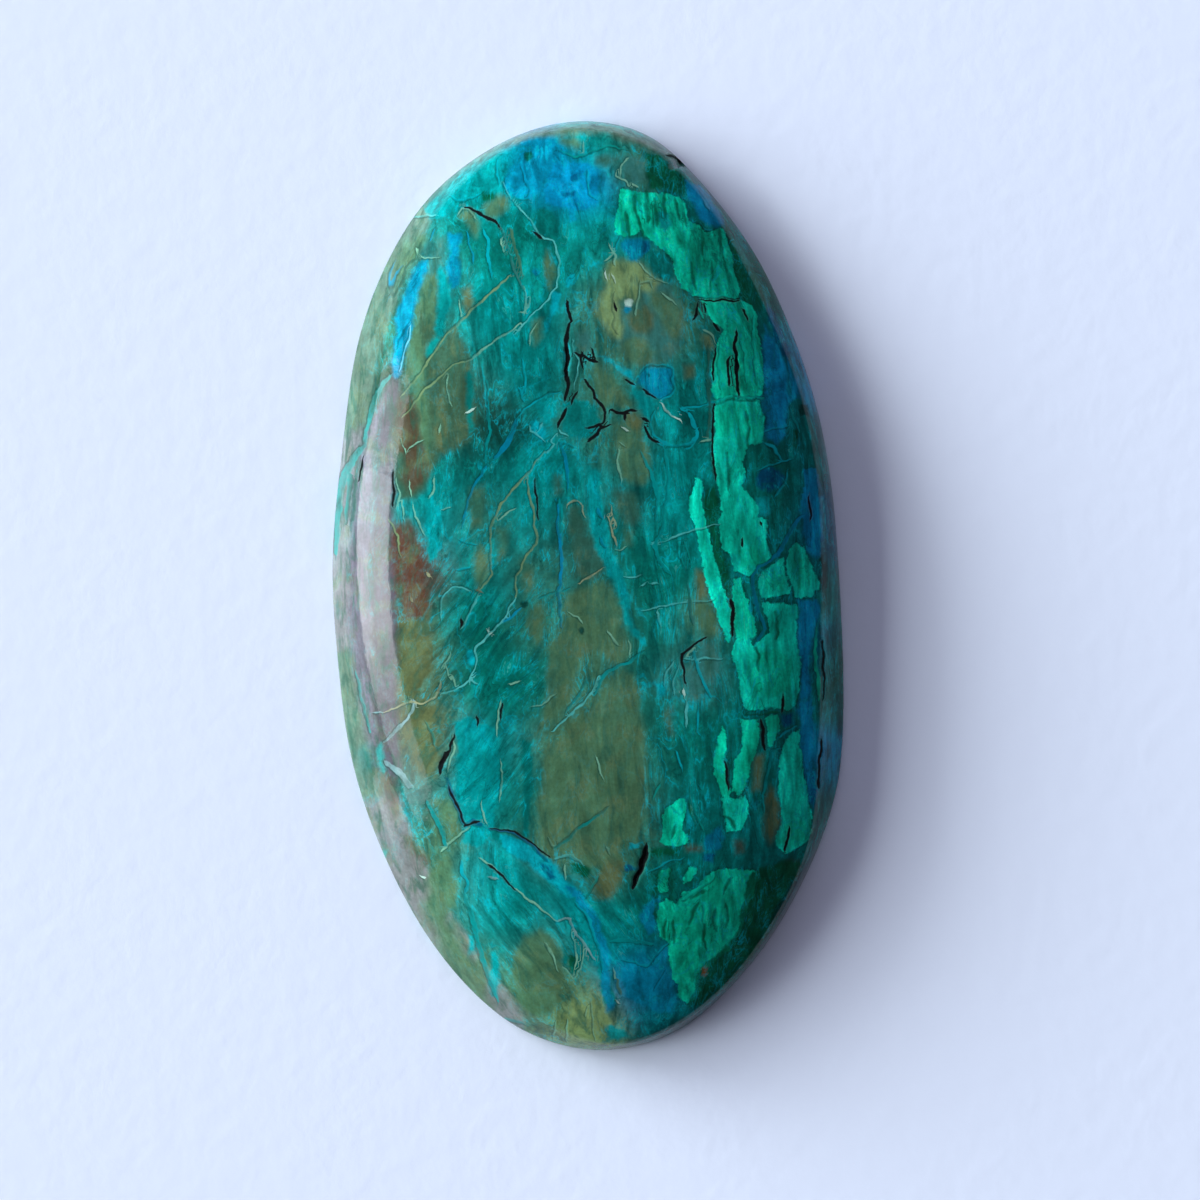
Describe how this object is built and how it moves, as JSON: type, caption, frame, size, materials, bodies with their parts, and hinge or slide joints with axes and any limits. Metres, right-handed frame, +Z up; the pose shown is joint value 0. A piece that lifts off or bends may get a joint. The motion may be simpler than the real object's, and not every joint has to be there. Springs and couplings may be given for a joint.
{
  "type": "gemstone cabochon",
  "caption": "Polished oval cabochon of chrysocolla: a low dome over a slanting girdle, with a flat back.",
  "frame": {"origin": "middle of the flat back, at ground level", "axes": "+Y along the stone's length, +X across its width, +Z up through the top of the dome"},
  "size_m": [0.0256, 0.0466, 0.0043],
  "materials": {
    "polished_chrysocolla": "polished"
  },
  "bodies": {
    "root": {"cabochon": "polished_chrysocolla"}
  },
  "joints": []
}
